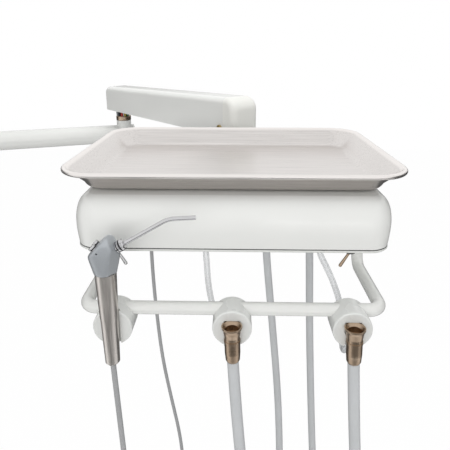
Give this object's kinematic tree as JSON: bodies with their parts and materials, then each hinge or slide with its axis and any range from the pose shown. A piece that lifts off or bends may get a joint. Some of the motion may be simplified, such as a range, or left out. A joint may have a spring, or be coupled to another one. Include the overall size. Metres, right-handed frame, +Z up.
{
  "type": "dental delivery unit",
  "caption": "Arm-mounted dental delivery unit: a tray over a white control head, with a bar of holders for a syringe and hose terminals, on a parallelogram lift arm.",
  "frame": {"origin": "shoulder of the post pin under the rigid arm's boss, on the pin's axis", "axes": "+Z up along the post pin, +X to the operator's right along the tray's front rim, +Y away from the operator"},
  "size_m": [0.8561, 0.6514, 0.6859],
  "materials": {
    "white_paint": "gloss powder coat",
    "white_plastic": "gloss moulded",
    "cream_plastic": "satin moulded",
    "white_plate": "white powder coat",
    "tray_steel": "brushed along its length",
    "steel": "machined",
    "handle_steel": "lengthwise brushed",
    "cast_grey": "satin cast",
    "chrome": "polished",
    "bronze": "bronze tinted",
    "brass": "dull",
    "hose_grey": "smooth",
    "line_grey": "smooth",
    "clear": "clear tube",
    "black_rubber": "matt",
    "supply": "coloured tubes",
    "alloy": "machined",
    "bush": "acetal",
    "holder": "gloss moulded"
  },
  "bodies": {
    "rigid_arm": {"rigid_arm_tube": "white_paint", "mount_boss": "white_paint", "mount_pin": "steel", "arm_end_plug": "white_plastic", "hub_barrel": "white_paint", "hub_bushes": "bush"},
    "arm_base": {"rear_spindle": "steel", "hub_retainer": "steel", "hub_collar": "bronze", "supply_tubes": "supply", "rear_knuckle": "alloy", "rear_pins": "steel"},
    "flex_arm": {"arm_cover": "white_plastic", "arm_front_cap": "cream_plastic", "arm_beam": "alloy", "spring_rod": "steel", "balance_spring": "steel", "brake_screw": "brass"},
    "upper_link": {"link_bar": "steel"},
    "front_block": {"front_knuckle": "alloy", "front_pins": "steel", "front_spindle": "steel", "front_retainer": "steel"},
    "head": {"head_bracket": "white_paint", "socket_bushes": "bush", "bracket_screws": "steel", "head_cover": "white_plastic", "base_plate": "white_plate", "cover_screws": "steel", "tray_pads": "black_rubber", "control_block": "alloy", "hose_glands": "black_rubber", "tube_fittings": "chrome", "holder_bar": "white_paint", "bar_screws": "steel", "holder_left": "holder", "holder_mid": "holder", "holder_right": "holder", "holder_screws": "steel", "toggle_rings": "black_rubber", "syringe_hose": "line_grey", "mid_hose": "hose_grey", "right_hose": "hose_grey", "clear_tube_mid": "clear", "clear_tube_right": "clear"},
    "tray": {"tray": "tray_steel"},
    "valve_mid": {"valve_mid": "steel"},
    "valve_right": {"valve_right": "steel"},
    "terminal_mid": {"terminal_mid": "bronze", "terminal_mid_skirt": "bronze"},
    "terminal_right": {"terminal_right": "bronze", "terminal_right_skirt": "bronze"},
    "syringe": {"syringe_handle": "handle_steel", "syringe_body": "cast_grey", "tip_nut": "chrome"},
    "syringe_tip": {"syringe_tip": "chrome"},
    "air_button": {"air_button": "chrome"},
    "water_button": {"water_button": "chrome"},
    "toggle_left": {"toggle_left": "chrome"},
    "toggle_right": {"toggle_right": "bronze"}
  },
  "joints": [
    {"name": "arm_swivel", "type": "hinge", "parent": "rigid_arm", "child": "arm_base", "pos_m": [0.42286, 0.15391, 0.06], "axis": [0, 0, 1], "range_deg": [-40, 90]},
    {"name": "arm_lift", "type": "hinge", "parent": "arm_base", "child": "flex_arm", "pos_m": [0.42286, 0.15391, 0.09035], "axis": [-0.749, -0.6626, 0], "range_deg": [-18, 18]},
    {"name": "link_lift", "type": "hinge", "parent": "arm_base", "child": "upper_link", "pos_m": [0.42286, 0.15391, 0.11035], "axis": [-0.749, -0.6626, 0], "range_deg": [-18, 18]},
    {"name": "head_level", "type": "hinge", "parent": "flex_arm", "child": "front_block", "pos_m": [0.66008, -0.11422, 0.09035], "axis": [-0.749, -0.6626, 0], "range_deg": [-18, 18]},
    {"name": "head_swivel", "type": "hinge", "parent": "front_block", "child": "head", "pos_m": [0.66008, -0.11422, 0.05], "axis": [0, 0, 1], "range_deg": [-40, 60]},
    {"name": "tray_lift", "type": "slide", "parent": "head", "child": "tray", "axis": [0, 0, 1], "range_m": [0, 0.06]},
    {"name": "valve_mid_press", "type": "slide", "parent": "head", "child": "valve_mid", "axis": [0, 1, 0], "range_m": [0, 0.002], "stiffness_N_per_m": 500},
    {"name": "valve_right_press", "type": "slide", "parent": "head", "child": "valve_right", "axis": [0, 1, 0], "range_m": [0, 0.002], "stiffness_N_per_m": 500},
    {"name": "terminal_mid_draw", "type": "slide", "parent": "head", "child": "terminal_mid", "axis": [0, -1, 0], "range_m": [0, 0.08]},
    {"name": "terminal_right_draw", "type": "slide", "parent": "head", "child": "terminal_right", "axis": [0, -1, 0], "range_m": [0, 0.08]},
    {"name": "syringe_draw", "type": "slide", "parent": "head", "child": "syringe", "axis": [0, -1, 0], "range_m": [0, 0.08]},
    {"name": "tip_spin", "type": "hinge", "parent": "syringe", "child": "syringe_tip", "pos_m": [0.56129, -0.45072, 0.04193], "axis": [0.8608, 0, 0.5089], "continuous": true},
    {"name": "air_press", "type": "slide", "parent": "syringe", "child": "air_button", "axis": [0.712, 0, -0.7022], "range_m": [0, 0.0025], "stiffness_N_per_m": 800},
    {"name": "water_press", "type": "slide", "parent": "syringe", "child": "water_button", "axis": [0.712, 0, -0.7022], "range_m": [0, 0.0025], "stiffness_N_per_m": 800},
    {"name": "toggle_left_flip", "type": "hinge", "parent": "head", "child": "toggle_left", "pos_m": [0.54758, -0.40422, 0.01745], "axis": [0, 1, 0], "range_deg": [0, 60]},
    {"name": "toggle_right_flip", "type": "hinge", "parent": "head", "child": "toggle_right", "pos_m": [0.77658, -0.40422, 0.01745], "axis": [0, -1, 0], "range_deg": [0, 60]}
  ],
  "couplings": [
    {"joint": "link_lift", "follows": "arm_lift", "ratio": 1},
    {"joint": "head_level", "follows": "arm_lift", "ratio": -1}
  ]
}
